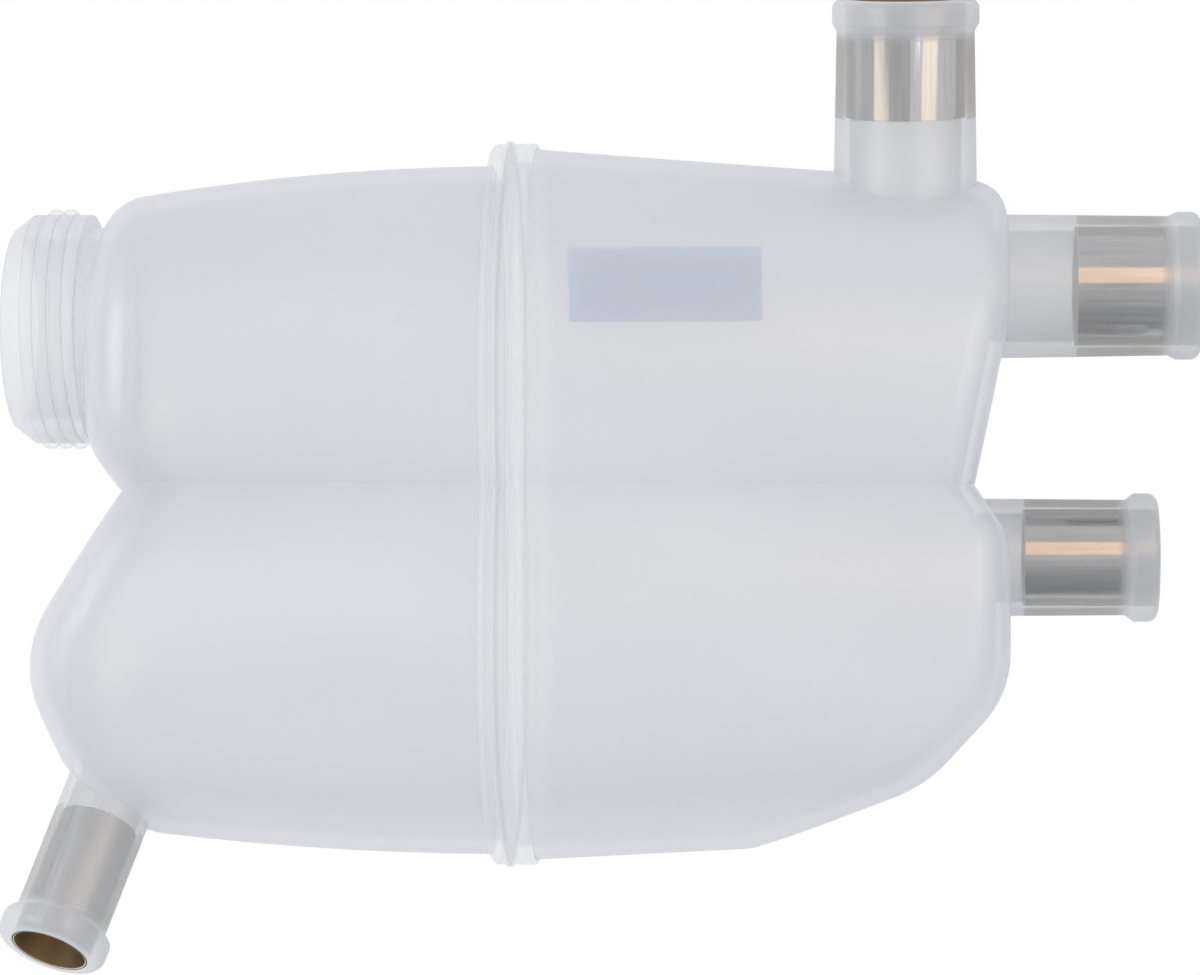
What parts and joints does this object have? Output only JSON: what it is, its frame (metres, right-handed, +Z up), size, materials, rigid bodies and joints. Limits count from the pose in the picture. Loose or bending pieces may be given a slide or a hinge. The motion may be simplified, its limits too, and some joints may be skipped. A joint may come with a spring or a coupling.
{
  "type": "coolant expansion tank",
  "caption": "Milky two-lobed plastic coolant expansion tank, welded at a raised band, with a threaded filler neck and hose nozzles stiffened by metal sleeves.",
  "frame": {"origin": "middle of the filler neck's mouth, where the cap seats", "axes": "+Z up out of the filler neck, as the tank is fitted; +X the way the side nozzle points; the front, with the vent nozzle's slant, is the -Y side"},
  "size_m": [0.2132, 0.0926, 0.2599],
  "materials": {
    "natural_polypropylene": "moulded, milky and translucent, with a soft gloss",
    "plated_steel": "bright plated tube",
    "blue_film": "plain film label"
  },
  "bodies": {
    "root": {"upper_shell": "natural_polypropylene", "lower_shell": "natural_polypropylene", "side_nozzle_sleeve": "plated_steel", "large_bottom_nozzle_sleeve": "plated_steel", "small_bottom_nozzle_sleeve": "plated_steel", "vent_nozzle_sleeve": "plated_steel", "rear_label": "blue_film"}
  },
  "joints": []
}
